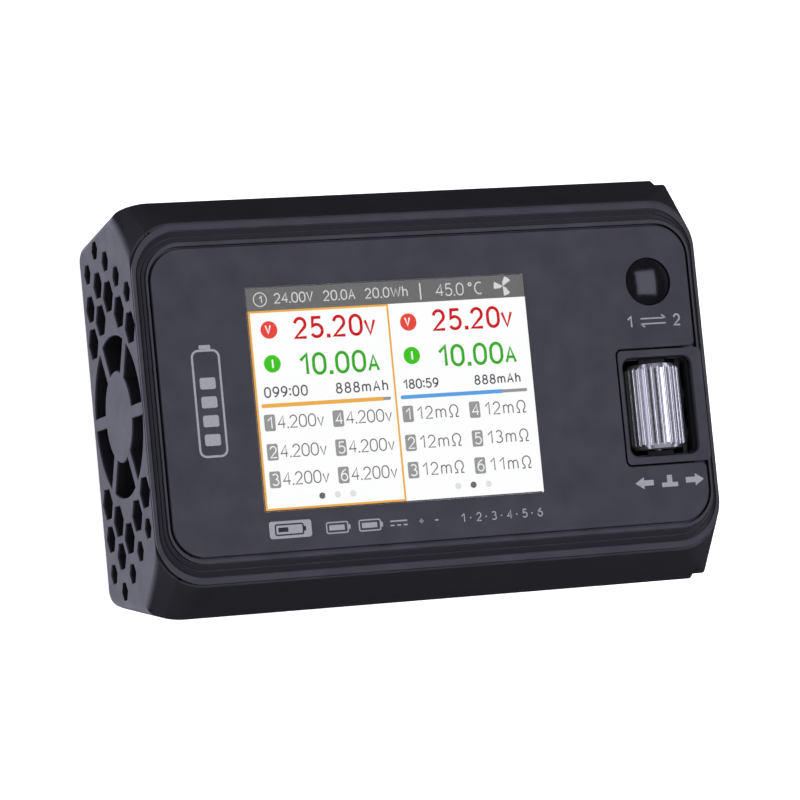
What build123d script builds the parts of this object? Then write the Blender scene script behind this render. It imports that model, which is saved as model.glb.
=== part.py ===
from build123d import *
import math
import os

# Two-channel balance charger with a colour display, a channel button, a scroll
# wheel that also presses, and a fan behind the left grille.  Millimetres.
# It lies on its back: +X to the right of the display, +Y to its top, +Z out of it.
# The origin is the middle of the plane that the rubber feet stand on.

# ---- Driving dimensions ----
case_length = 100.4         # along X, over both end caps
case_height = 69.3          # along Y, across the shoulders
front_z = 34.0              # face of the front panel
back_z = 1.0                # outside of the back wall
shoulder_z = 23.5           # widest plane, where the front flare starts
wall = 1.8

back_half_height = 31.5     # Y of the tapered side where it would meet the back wall
back_round = 3.0
shoulder_round = 0.8
floor_z = back_z + 1.6
left_round = 12.0           # corners at the left end, cut off by the side face
left_reach = 5.6            # how far their outline would pass the side face
left_edge_round = 2.0       # where the side face cuts them off
hollow_half_height = 28.5   # inside of the case, between the flares
hollow_end_height = 27.4    # the same at the ends, inside the rounded corners of the rim
hollow_end_x = 46.7
hollow_shoulder_z = 30.0

land_z = 32.3               # flat rim around the stepped frame
land_height = 59.24
land_round = 8.0
rim_z = land_z - 0.4        # underside of the bezel's flange
rim_gap = 0.35              # shadow gap under the flange
shell_top_z = rim_z - rim_gap

cap_thickness = 3.0
cap_inset = 0.8             # the right end cap is this much slimmer than the shell
cap_edge_round = 1.2
flare_round = 0.8           # upright corners of the right end's flare
shell_end = case_length / 2 - cap_thickness
tongue_reach = 3.0          # tongues of the end caps, behind the shell's sides
tongue_y = 29.1

skirt_length = 98.6         # part of the bezel that drops into the case
skirt_height = 57.4
skirt_round = 7.2
skirt_z = 30.8
skirt_clearance = 0.1

panel_length = 95.5
panel_height = 50.76
panel_round = 5.5
panel_thickness = 1.0
panel_z = front_z - panel_thickness
panel_gap = 0.35
lip_z = front_z - 0.1

display_length = 48.96      # lit area
display_height = 36.72
display_x = -7.16
display_y = -0.14
cell_low_x = -33.6          # glass of the display, wider than its lit area
cell_high_x = 25.1
cell_half_height = 20.56
cell_z = 32.0
cell_top_z = 32.9

button_x = 40.3
button_y = 15.8
button_hole_r = 4.1
button_r = 3.93

wheel_x = 40.2
wheel_y = -5.5
wheel_r = 4.6
wheel_length = 14.4
wheel_z = front_z + 2.0 - wheel_r
wheel_chamfer = 0.85        # along the wheel
rib_count = 26
window_x = 40.4
window_length = 12.4        # along X
window_height = 16.5        # along Y
window_ledge = 0.15         # the window is this much narrower below its ledge
ledge_z = 32.4
deck_z = 31.6               # underside of the raised deck around the window
notch_x = 33.05
notch_height = 19.9

fan_size = 30.0
fan_depth = 10.0
fan_z = floor_z + fan_size / 2
fan_out_x = -shell_end + 0.1
fan_in_x = fan_out_x + fan_depth

board_thickness = 1.6
main_board_z = 6.0
main_top_z = main_board_z + board_thickness
front_board_z = 27.3
front_top_z = front_board_z + board_thickness

post_x = 44.6
post_y = 26.0
post_r = 2.4
pilot_r = 1.05
screw_r = 1.0
screw_head_r = 2.2
screw_head_depth = 0.9

vent_x = 32.0               # slots in the back wall
vent_pitch = 3.0
vent_length = 20.0
vent_width = 1.5

power_pitch = 7.2           # between the two poles of a power connector
power_length = 16.0
power_height = 8.1
power_depth = 16.0
power_z = 12.2
contact_r = 1.75            # pins, and the inside of the sockets
output_x = 33.0
balance_x = 11.6
balance_z = 11.2
balance_length = 19.9
balance_height = 6.0
balance_depth = 10.0
port_face_y = 32.4          # outer faces of the sockets on the top side
port_floor_y = 30.6         # recessed wall around them
recess_end = 42.6
recess_low_z = 6.4
recess_high_z = 19.6
input_y = -13.5
inlet_neck_r = 1.55         # thinner part of the inlet's pins, inside its floor
inlet_pin_length = 7.7
inlet_depth = 9.4
usb_a_y = 3.6
usb_a_z = 10.8
usb_a_length = 13.2
usb_a_height = 5.8
usb_a_depth = 13.8
usb_c_y = 16.2
usb_c_z = 9.6
usb_c_length = 9.0
usb_c_height = 3.3
usb_c_depth = 7.2
port_face_x = case_length / 2 - 0.4

os.makedirs("parts", exist_ok=True)


# ---- Helpers ----
def save(part, name):
    """Label one finished piece and write its STEP file."""
    part.label = name
    export_step(part, f"parts/{name}.step")


def slab(low, high, mode=Mode.ADD):
    """A box between two corners, in the active part."""
    size = [b - a for a, b in zip(low, high)]
    with Locations(tuple(low)):
        Box(*size, align=(Align.MIN, Align.MIN, Align.MIN), mode=mode)


def rounded_outline(outline, z):
    """A rounded rectangle (length, height, radius) at one height."""
    with BuildSketch(Plane.XY.offset(z)) as flat:
        RectangleRounded(*outline)
    return flat.sketch


def plate(outline, low_z, high_z, mode=Mode.ADD):
    """A rounded rectangle between two heights, in the active part."""
    extrude(rounded_outline(outline, low_z), amount=high_z - low_z, mode=mode)


def slope(low_outline, low_z, high_outline, high_z):
    """Straight-sided transition between two rounded rectangles, in the active part."""
    loft([rounded_outline(low_outline, low_z), rounded_outline(high_outline, high_z)], ruled=True)


def side_profile(x, half_height, back_half, low_z, corner):
    """Tapered section of the case at one X, below the shoulder."""
    with BuildSketch(Plane.YZ.offset(x)) as profile:
        with BuildLine():
            Polyline(
                (-half_height, shoulder_z),
                (-back_half, low_z),
                (back_half, low_z),
                (half_height, shoulder_z),
                close=True,
            )
        make_face()
        fillet(profile.vertices().group_by(Axis.Y)[0], corner)
    return profile.sketch


def skirt_recess():
    """Cut the seat for the bezel's skirt, in the active part."""
    outline = (
        skirt_length + 2 * skirt_clearance,
        skirt_height + 2 * skirt_clearance,
        skirt_round + skirt_clearance,
    )
    plate(outline, skirt_z - skirt_clearance, land_z, Mode.SUBTRACT)


# ---- Case ----
def left_body():
    """Left half of the case as a solid, with wide corners that the side face cuts off."""
    length = case_length + 2 * left_reach
    back = (length, 2 * back_half_height, left_round)
    shoulder = (length, case_height, left_round)
    with BuildPart() as body:
        slope(back, back_z, shoulder, shoulder_z)
        fillet(body.edges().group_by(Axis.Z)[0], back_round)
        slope(shoulder, shoulder_z, (case_length, land_height, land_round), land_z)
        split(bisect_by=Plane.XY.offset(shell_top_z), keep=Keep.BOTTOM)
        split(bisect_by=Plane.YZ.offset(-case_length / 2), keep=Keep.TOP)
        split(bisect_by=Plane.YZ, keep=Keep.BOTTOM)
        side_face = body.faces().sort_by(Axis.X)[0]
        upright_edges = side_face.outer_wire().edges().filter_by(GeomType.LINE, reverse=True)
        fillet([edge for edge in upright_edges if edge.length > back_round * 2], left_edge_round)
    return body.part


def right_flare(height, start_x):
    """Front flare from one X to the right end, for one height across the shoulders."""
    with BuildPart() as flare:
        slope(
            (case_length, height, flare_round),
            shoulder_z,
            (case_length, land_height, land_round),
            land_z,
        )
        split(bisect_by=Plane.XY.offset(shell_top_z), keep=Keep.BOTTOM)
        split(bisect_by=Plane.YZ.offset(start_x), keep=Keep.TOP)
    return flare.part


def hollow(end_x, half_height):
    """Cut the inside of the case, one wall's thickness in, from -end_x to end_x in the active part.

    half_height is its Y between the flares.
    """
    with BuildSketch(Plane.YZ.offset(-end_x)) as section:
        with BuildLine():
            Polyline(
                (-back_half_height + wall, floor_z),
                (back_half_height - wall, floor_z),
                (case_height / 2 - wall - 0.3, shoulder_z),
                (half_height, hollow_shoulder_z),
                (half_height, land_z),
                (-half_height, land_z),
                (-half_height, hollow_shoulder_z),
                (-case_height / 2 + wall + 0.3, shoulder_z),
                close=True,
            )
        make_face()
    extrude(section.sketch, amount=2 * end_x, mode=Mode.SUBTRACT)


def main_shell():
    """Middle of the case: back wall, tapered sides and front flares, open at both ends."""
    with BuildPart() as shell:
        add(right_flare(case_height, 0))
        extrude(side_profile(0, case_height / 2, back_half_height, back_z, back_round), amount=shell_end)
        add(left_body())
        split(bisect_by=Plane.YZ.offset(shell_end), keep=Keep.BOTTOM)
        split(bisect_by=Plane.YZ.offset(-shell_end), keep=Keep.TOP)
        shoulders = shell.edges().filter_by(Axis.X).group_by(Axis.Y)
        fillet(shoulders[0] + shoulders[-1], shoulder_round)

        hollow(shell_end, hollow_end_height)
        hollow(hollow_end_x, hollow_half_height)
        skirt_recess()

        # upright wall for the sockets on the top side, in a shallow recess
        wall_low_y = port_floor_y - 2.0
        wall_high_y = port_floor_y + 0.6
        slab((-recess_end - 1, wall_low_y, floor_z), (recess_end + 1, wall_high_y, recess_high_z + wall))
        recess_corner = (recess_end, case_height, recess_high_z)
        slab((-recess_end, port_floor_y, recess_low_z), recess_corner, Mode.SUBTRACT)
        for x in (-output_x, output_x):
            slab(
                (x - power_length / 2 - 0.1, wall_low_y - 0.6, power_z - power_height / 2 - 0.1),
                (x + power_length / 2 + 0.1, case_height, power_z + power_height / 2 + 0.1),
                Mode.SUBTRACT,
            )
        for x in (-balance_x, balance_x):
            slab(
                (x - balance_length / 2 - 0.1, wall_low_y - 0.6, balance_z - balance_height / 2 - 0.1),
                (x + balance_length / 2 + 0.1, case_height, balance_z + balance_height / 2 + 0.1),
                Mode.SUBTRACT,
            )

        # back wall: screw seats, foot recesses, label recess and vent slots
        with BuildSketch(Plane.XY.offset(back_z)):
            with GridLocations(2 * post_x, 2 * post_y, 2, 2):
                Circle(screw_head_r + 0.15)
        extrude(amount=screw_head_depth, mode=Mode.SUBTRACT)
        with BuildSketch(Plane.XY.offset(back_z)):
            with GridLocations(2 * post_x, 2 * post_y, 2, 2):
                Circle(screw_r + 0.3)
        extrude(amount=wall + 0.2, mode=Mode.SUBTRACT)
        with BuildSketch(Plane.XY.offset(back_z)):
            with GridLocations(2 * foot_x, 2 * foot_y, 2, 2):
                Circle(foot_r + 0.05)
            RectangleRounded(label_length + 0.2, label_height + 0.2, 1.1)
        extrude(amount=foot_recess, mode=Mode.SUBTRACT)
        with BuildSketch(Plane.XY.offset(back_z)):
            with GridLocations(vent_pitch, 0, 4, 1):
                with Locations((vent_x, 0), (-vent_x, 0)):
                    SlotOverall(vent_length, vent_width, rotation=90)
        extrude(amount=wall + 0.2, mode=Mode.SUBTRACT)
    save(shell.part, "main_shell")


def cap_seats(side):
    """Tongues behind the shell's sides and the seat for the bezel, in the active part."""
    skirt_recess()
    inner = side * (shell_end - tongue_reach)
    outer = side * shell_end
    for y in (-tongue_y - 1.0, tongue_y):
        slab((min(inner, outer), y, 12), (max(inner, outer), y + 1.0, 20))


hex_large = 4.8             # across flats
hex_medium = 4.1
hex_small = 3.0
hex_column = 5.45           # spacing of the columns, along Z
hex_row = 5.9               # spacing in a column, along Y
hex_first = 20.2            # first hole of the middle column, from the fan's axis
outlet_pitch = 6.54         # air outlets in the right end
outlet_low_z = 21.6
outlet_high_z = 26.6
petal_r = 13.5
hub_r = 7.7
spoke_width = 2.2

# sizes in each column from the fan outwards; columns count from the front (-2) to the back (2)
grille_columns = {
    -2: (hex_large, hex_small),
    -1: (hex_large, hex_small),
    0: (hex_large, hex_small),
    1: (hex_large, hex_medium, hex_small),
    2: (hex_large, hex_medium, hex_small),
}


def hexagon(y, z, across_flats):
    """A hexagonal hole in a YZ sketch, flat towards Y."""
    with Locations((y, z)):
        RegularPolygon(across_flats / math.sqrt(3), 6, rotation=30)


def left_grille():
    """Left end cap with the fan guard and its field of hexagonal holes."""
    with BuildPart() as grille:
        add(left_body())
        split(bisect_by=Plane.YZ.offset(-shell_end), keep=Keep.BOTTOM)
        cap_seats(-1)
        with BuildSketch(Plane.YZ.offset(-case_length / 2)):
            with Locations((0, fan_z)):
                Circle(petal_r)
                Circle(hub_r, mode=Mode.SUBTRACT)
                for angle in (0, 60, 120):
                    Rectangle(spoke_width, 3 * petal_r, rotation=angle, mode=Mode.SUBTRACT)
        extrude(amount=cap_thickness, mode=Mode.SUBTRACT)
        with BuildSketch(Plane.YZ.offset(-case_length / 2)):
            for column, sizes in grille_columns.items():
                first = hex_first - abs(column) * hex_row * 0.56
                for row, size in enumerate(sizes):
                    for y in (first + row * hex_row, -first - row * hex_row):
                        hexagon(y, fan_z - column * hex_column, size)
        extrude(amount=cap_thickness, mode=Mode.SUBTRACT)
        outer_face = grille.faces().sort_by(Axis.X)[0]
        chamfer([edge for wire in outer_face.inner_wires() for edge in wire.edges()], 0.2)
    save(grille.part, "left_grille")


def right_side_panel():
    """Right end cap with the supply inlet, the USB ports and air outlets."""
    with BuildPart() as panel:
        section = side_profile(
            shell_end,
            case_height / 2 - cap_inset,
            back_half_height - cap_inset,
            back_z + 0.4,
            back_round,
        )
        extrude(section, amount=cap_thickness)
        outer_face = panel.faces().sort_by(Axis.X)[-1]
        rim = [edge for edge in outer_face.edges() if edge.center().Z < shoulder_z - 0.1]
        fillet(rim, cap_edge_round)
        add(right_flare(case_height - 2 * cap_inset, shell_end))
        cap_seats(1)
        ports = (
            (input_y, power_z, power_length, power_height),
            (usb_a_y, usb_a_z, usb_a_length, usb_a_height),
            (usb_c_y, usb_c_z, usb_c_length, usb_c_height),
        )
        for y, z, length, height in ports:
            slab(
                (shell_end - 1, y - length / 2 - 0.1, z - height / 2 - 0.1),
                (case_length, y + length / 2 + 0.1, z + height / 2 + 0.1),
                Mode.SUBTRACT,
            )
        with BuildSketch(Plane.YZ.offset(case_length / 2)):
            for column in range(-3, 4):
                hexagon(column * outlet_pitch, outlet_low_z, hex_medium)
            for column in range(-3, 3):
                hexagon((column + 0.5) * outlet_pitch, outlet_high_z, hex_medium)
        extrude(amount=-cap_thickness, mode=Mode.SUBTRACT)
        outer_face = panel.faces().sort_by(Axis.X)[-1]
        chamfer([edge for wire in outer_face.inner_wires() for edge in wire.edges()], 0.2)
    save(panel.part, "right_side_panel")


# Outlines of the stepped frame, from the panel outwards: length, height, corner radius
lip_inner = (panel_length + 2 * panel_gap, panel_height + 2 * panel_gap, panel_round + panel_gap)
lip_outer = (96.96, 52.76, 6.25)
step_middle = (97.9, 54.7, 6.9)
step_outer = (98.9, 56.84, 7.45)
land_outer = (case_length, land_height, land_round)
step_top_z = 33.75
step_middle_z = 33.05
groove = 0.16
opening_half_length = 46.0  # opening behind the panel
opening_half_height = 23.6


def ring_groove(outline, low_z, high_z):
    """A narrow groove just outside an outline."""
    length, height, radius = outline
    with BuildSketch(Plane.XY.offset(low_z)) as ring:
        RectangleRounded(length + 2 * groove, height + 2 * groove, radius + groove)
        RectangleRounded(length, height, radius, mode=Mode.SUBTRACT)
    extrude(ring.sketch, amount=high_z - low_z, mode=Mode.SUBTRACT)


def front_bezel():
    """Stepped frame around the front panel, with the wheel's window and the screw posts."""
    with BuildPart() as bezel:
        plate((skirt_length, skirt_height, skirt_round), skirt_z, land_z)
        plate(land_outer, rim_z, land_z)
        slope(step_outer, land_z, step_middle, step_middle_z)
        slope(step_middle, step_middle_z, lip_outer, step_top_z)
        plate(lip_outer, step_middle_z, lip_z)
        ring_groove(lip_outer, step_top_z - 0.35, lip_z)
        ring_groove(step_middle, step_middle_z - 0.35, step_top_z)
        ring_groove(step_outer, land_z - 0.2, step_middle_z)
        plate(lip_inner, panel_z, front_z, Mode.SUBTRACT)
        slab(
            (-opening_half_length, -opening_half_height, skirt_z - 1),
            (opening_half_length, opening_half_height, front_z),
            Mode.SUBTRACT,
        )
        # room for the fan's frame
        slab(
            (-shell_end - 0.15, -fan_size / 2 - 0.2, skirt_z - 1),
            (1 - opening_half_length, fan_size / 2 + 0.2, panel_z),
            Mode.SUBTRACT,
        )

        # raised deck that frames the scroll wheel, open below
        deck_left = notch_x + 0.25
        deck_right = panel_length / 2 + 1
        with BuildSketch(Plane.XY.offset(deck_z)):
            with Locations(((deck_left + deck_right) / 2, wheel_y)):
                RectangleRounded(deck_right - deck_left, notch_height - 0.5, 0.8)
        extrude(amount=lip_z - deck_z)
        narrowing = 2 * window_ledge
        with BuildSketch(Plane.XY.offset(skirt_z)):
            with Locations((window_x, wheel_y)):
                RectangleRounded(window_length - narrowing, window_height - narrowing, 1.25)
        extrude(amount=front_z - skirt_z, mode=Mode.SUBTRACT)
        with BuildSketch(Plane.XY.offset(ledge_z)):
            with Locations((window_x, wheel_y)):
                RectangleRounded(window_length, window_height, 1.4)
        extrude(amount=front_z - ledge_z, mode=Mode.SUBTRACT)
        window_edges = [
            edge
            for edge in bezel.edges().filter_by_position(Axis.Z, lip_z - 0.01, lip_z + 0.01)
            if abs(edge.center().X - window_x) <= window_length / 2 + 0.1
            and abs(edge.center().Y - wheel_y) <= window_height / 2 + 0.1
        ]
        chamfer(window_edges, 0.25)
        # pocket for the tops of the wheel carrier's arms
        slab(
            (wheel_x - arm_half_width - 0.2, arm_low_y - 0.2, deck_z),
            (wheel_x + arm_half_width + 0.2, arm_high_y + 0.2, arm_top_z + 0.2),
            Mode.SUBTRACT,
        )

        # posts that take the case screws
        with BuildSketch(Plane.XY.offset(floor_z + 0.05)):
            with GridLocations(2 * post_x, 2 * post_y, 2, 2):
                Circle(post_r)
        extrude(amount=skirt_z + 0.5 - floor_z)
        with BuildSketch(Plane.XY.offset(floor_z)):
            with GridLocations(2 * post_x, 2 * post_y, 2, 2):
                Circle(pilot_r)
        extrude(amount=14, mode=Mode.SUBTRACT)
    save(bezel.part, "front_bezel")


def front_panel():
    """Face plate with the display window, the button hole and the wheel's notch."""
    with BuildPart() as panel:
        with BuildSketch(Plane.XY.offset(panel_z)) as face:
            RectangleRounded(panel_length, panel_height, panel_round)
            with Locations((notch_x, wheel_y)):
                Rectangle(40, notch_height, align=(Align.MIN, Align.CENTER), mode=Mode.SUBTRACT)
            notch_edges = (wheel_y - notch_height / 2, wheel_y + notch_height / 2)
            corners = [v for v in face.vertices() if min(abs(v.Y - y) for y in notch_edges) < 0.01]
            fillet(corners, 1.0)
            with Locations((display_x, display_y)):
                RectangleRounded(display_length + 0.4, display_height + 0.4, 0.3, mode=Mode.SUBTRACT)
            with Locations((button_x, button_y)):
                Circle(button_hole_r, mode=Mode.SUBTRACT)
        extrude(amount=panel_thickness)
        front_face = panel.faces().sort_by(Axis.Z)[-1]
        chamfer(front_face.outer_wire().edges(), 0.12)
    save(panel.part, "front_panel")


# ---- Display and front board ----
def display():
    """Clear window, display glass and the frame that holds it over the front board."""
    with BuildPart() as window:
        with BuildSketch(Plane.XY.offset(panel_z)):
            with Locations((display_x, display_y)):
                RectangleRounded(display_length + 0.34, display_height + 0.34, 0.27)
        extrude(amount=panel_thickness)
    save(window.part, "lcd_window")

    edge = 0.8
    frame_low = (cell_low_x - edge, display_y - cell_half_height - edge, front_top_z + 0.2)
    frame_high = (cell_high_x + edge, display_y + cell_half_height + edge, cell_top_z)
    with BuildPart() as glass:
        slab(
            (cell_low_x, display_y - cell_half_height, cell_z),
            (cell_high_x, display_y + cell_half_height, cell_top_z),
        )
    save(glass.part, "lcd_glass")
    with BuildPart() as frame:
        slab(frame_low, frame_high)
        slab(
            (cell_low_x - 0.05, display_y - cell_half_height - 0.05, cell_z),
            (cell_high_x + 0.05, display_y + cell_half_height + 0.05, front_z),
            Mode.SUBTRACT,
        )
    save(frame.part, "lcd_frame")


def front_board():
    """Circuit board behind the panel, cut out around the scroll wheel."""
    with BuildPart() as board:
        slab((-36.0, -23.0, front_board_z), (46.6, 23.0, front_top_z))
        slab(
            (wheel_x - tray_half_width - 0.1, tray_low_y - 0.1, front_board_z),
            (47, tray_high_y + 0.1, front_top_z),
            Mode.SUBTRACT,
        )
    save(board.part, "front_board")
    with BuildPart() as chip:
        slab((15, -5, front_board_z - 1.4), (25, 5, front_board_z))
    save(chip.part, "controller_chip")
    with BuildPart() as buzzer:
        with BuildSketch(Plane.XY.offset(front_board_z)):
            with Locations((-26, 18)):
                Circle(4.75)
        extrude(amount=-6)
        with BuildSketch(Plane.XY.offset(front_board_z - 6)):
            with Locations((-26, 18)):
                Circle(0.9)
        extrude(amount=1.5, mode=Mode.SUBTRACT)
    save(buzzer.part, "buzzer")


# ---- Channel button ----
def channel_button():
    """Domed cap kept under the panel by its flange, over a push switch."""
    with BuildPart() as cap:
        with BuildSketch(Plane.XZ.offset(-button_y)):
            with BuildLine():
                Polyline(
                    (button_x, front_z + 0.3),
                    (button_x, 31.6),
                    (button_x + 2.0, 31.6),
                    (button_x + 2.0, 32.15),
                    (button_x + 4.7, 32.15),
                    (button_x + 4.7, panel_z - 0.05),
                    (button_x + button_r, panel_z - 0.05),
                    (button_x + button_r, front_z - 0.25),
                )
                TangentArc(
                    (button_x, front_z + 0.3),
                    (button_x + button_r, front_z - 0.25),
                    tangent=(1, 0),
                )
            make_face()
        revolve(axis=Axis((button_x, button_y, 0), (0, 0, 1)))
    save(cap.part, "channel_button")
    with BuildPart() as switch:
        slab((button_x - 3.1, button_y - 3.1, front_top_z), (button_x + 3.1, button_y + 3.1, 30.8))
        with BuildSketch(Plane.XY.offset(29.6)):
            with Locations((button_x, button_y)):
                Circle(1.8)
        extrude(amount=2, mode=Mode.SUBTRACT)
    save(switch.part, "button_switch")
    with BuildPart() as plunger:
        with BuildSketch(Plane.XY.offset(30.4)):
            with Locations((button_x, button_y)):
                Circle(1.6)
        extrude(amount=1.2)
    save(plunger.part, "button_plunger")


# ---- Scroll wheel ----
wheel_low_y = wheel_y - wheel_length / 2
wheel_high_y = wheel_y + wheel_length / 2
groove_r = 0.3              # the grooves between the wheel's ribs
axle_r = 0.7
magnet_r = 2.95
magnet_depth = 1.2
arm_gap = 0.2               # between the wheel's ends and the carrier's arms
arm_thickness = 1.0
arm_half_width = 2.4
arm_top_z = wheel_z + 0.95
carrier_z = 25.2
carrier_thickness = 1.0
carrier_half_width = 4.9
arm_low_y = wheel_low_y - arm_gap - arm_thickness
arm_high_y = wheel_high_y + arm_gap + arm_thickness
tray_wall = 0.8
tray_gap = 0.2
tray_half_width = carrier_half_width + tray_gap + tray_wall
tray_low_y = arm_low_y - tray_gap - tray_wall
tray_high_y = arm_high_y + tray_gap + tray_wall
tray_z = 21.4
tray_top_z = 30.4
tray_floor_z = tray_z + 1.0
press_switch_top_z = tray_floor_z + 1.8


def disc(radius, start_y, depth, mode=Mode.ADD):
    """A cylinder along the wheel's axis, from start_y towards +Y, in the active part."""
    with BuildSketch(Plane.XZ.offset(-start_y)) as circle:
        with Locations((wheel_x, wheel_z)):
            Circle(radius)
    extrude(circle.sketch, amount=-depth, mode=mode)


def scroll_wheel():
    """Ribbed metal roller with chamfered ends, and the encoder's magnet in one end."""
    with BuildPart() as wheel:
        with BuildSketch(Plane.XZ.offset(-wheel_low_y)):
            with Locations((wheel_x, wheel_z)):
                Circle(wheel_r)
                with PolarLocations(wheel_r + 0.04, rib_count):
                    Circle(groove_r, mode=Mode.SUBTRACT)
        extrude(amount=-wheel_length)
        with BuildSketch(Plane.XY.offset(wheel_z)):
            with BuildLine():
                Polyline(
                    (wheel_x, wheel_low_y),
                    (wheel_x + wheel_r - 0.6, wheel_low_y),
                    (wheel_x + wheel_r, wheel_low_y + wheel_chamfer),
                    (wheel_x + wheel_r, wheel_high_y - wheel_chamfer),
                    (wheel_x + wheel_r - 0.6, wheel_high_y),
                    (wheel_x, wheel_high_y),
                    close=True,
                )
            make_face()
        revolve(axis=Axis((wheel_x, 0, wheel_z), (0, 1, 0)), mode=Mode.INTERSECT)
        disc(axle_r + 0.05, wheel_low_y, wheel_length, Mode.SUBTRACT)
        disc(magnet_r + 0.05, wheel_low_y, magnet_depth, Mode.SUBTRACT)
    save(wheel.part, "scroll_wheel")
    with BuildPart() as magnet:
        disc(magnet_r, wheel_low_y, magnet_depth)
        disc(axle_r + 0.3, wheel_low_y, magnet_depth, Mode.SUBTRACT)
    save(magnet.part, "encoder_magnet")


def wheel_carrier():
    """Rocking yoke that carries the wheel, with its axle, and the plunger that it pushes."""
    plate_top_z = carrier_z + carrier_thickness
    with BuildPart() as carrier:
        slab(
            (wheel_x - carrier_half_width, arm_low_y, carrier_z),
            (wheel_x + carrier_half_width, arm_high_y, plate_top_z),
        )
        for y in (arm_low_y, arm_high_y - arm_thickness):
            slab(
                (wheel_x - arm_half_width, y, plate_top_z),
                (wheel_x + arm_half_width, y + arm_thickness, arm_top_z),
            )
        disc(axle_r, arm_low_y, arm_high_y - arm_low_y, Mode.SUBTRACT)
    save(carrier.part, "wheel_carrier")
    with BuildPart() as axle:
        disc(axle_r, arm_low_y, arm_high_y - arm_low_y)
    save(axle.part, "wheel_axle")
    with BuildPart() as plunger:
        with BuildSketch(Plane.XY.offset(press_switch_top_z - 0.3)):
            with Locations((wheel_x, wheel_y)):
                Circle(1.5)
        extrude(amount=carrier_z - press_switch_top_z + 0.3)
    save(plunger.part, "wheel_plunger")


def wheel_base():
    """Tray on the front board that guides the carrier, with the press switch and sensor."""
    with BuildPart() as base:
        slab(
            (wheel_x - tray_half_width, tray_low_y, tray_z),
            (wheel_x + tray_half_width, tray_high_y, tray_top_z),
        )
        slab(
            (wheel_x - tray_half_width + tray_wall, tray_low_y + tray_wall, tray_floor_z),
            (wheel_x + tray_half_width - tray_wall, tray_high_y - tray_wall, tray_top_z),
            Mode.SUBTRACT,
        )
        # flange that rests on the board
        slab(
            (wheel_x - tray_half_width - 2.6, tray_low_y, front_top_z),
            (wheel_x - tray_half_width, tray_high_y, front_top_z + 0.9),
        )
    save(base.part, "wheel_base")
    with BuildPart() as switch:
        slab(
            (wheel_x - 3, wheel_y - 3, tray_floor_z),
            (wheel_x + 3, wheel_y + 3, press_switch_top_z),
        )
        with BuildSketch(Plane.XY.offset(tray_floor_z + 0.8)):
            with Locations((wheel_x, wheel_y)):
                Circle(1.7)
        extrude(amount=2, mode=Mode.SUBTRACT)
    save(switch.part, "wheel_switch")
    with BuildPart() as sensor:
        slab((wheel_x - 2, tray_low_y - 1.0, 24), (wheel_x + 2, tray_low_y, 27))
    save(sensor.part, "encoder_sensor")


# ---- Fan ----
fan_hub_r = 6.3
blade_count = 7
blade_tip_r = 13.5


def fan_frame():
    """Square frame with a round duct, and the struts and tube that hold the motor."""
    inner_face = Plane.YZ.offset(fan_in_x)
    with BuildPart() as frame:
        with BuildSketch(inner_face):
            with Locations((0, fan_z)):
                RectangleRounded(fan_size, fan_size, 2.5)
                Circle(14.0, mode=Mode.SUBTRACT)
                with GridLocations(24, 24, 2, 2):
                    Circle(1.5, mode=Mode.SUBTRACT)
        extrude(amount=-fan_depth)
        with BuildSketch(inner_face):
            with Locations((0, fan_z)):
                Circle(6.5)
                for angle in (30, 150, 270):
                    with PolarLocations(10.0, 1, start_angle=angle):
                        Rectangle(9.0, 1.6)
                Circle(1.82, mode=Mode.SUBTRACT)
        extrude(amount=-1.2)
        with BuildSketch(inner_face):
            with Locations((0, fan_z)):
                Circle(2.5)
                Circle(1.82, mode=Mode.SUBTRACT)
        extrude(amount=-6.4)
    save(frame.part, "fan_frame")


def fan_motor():
    """Bearing sleeve and wound stator around it."""
    with BuildPart() as bearing:
        with BuildSketch(Plane.YZ.offset(fan_in_x - 0.2)):
            with Locations((0, fan_z)):
                Circle(1.8)
                Circle(0.8, mode=Mode.SUBTRACT)
        extrude(amount=-6.0)
    save(bearing.part, "fan_bearing")
    with BuildPart() as stator:
        with BuildSketch(Plane.YZ.offset(fan_in_x - 1.4)):
            with Locations((0, fan_z)):
                Circle(4.8)
                Circle(2.52, mode=Mode.SUBTRACT)
                with PolarLocations(4.6, 4, start_angle=45):
                    Rectangle(1.6, 1.0, mode=Mode.SUBTRACT)
        extrude(amount=-4.0)
    save(stator.part, "fan_stator")


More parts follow.
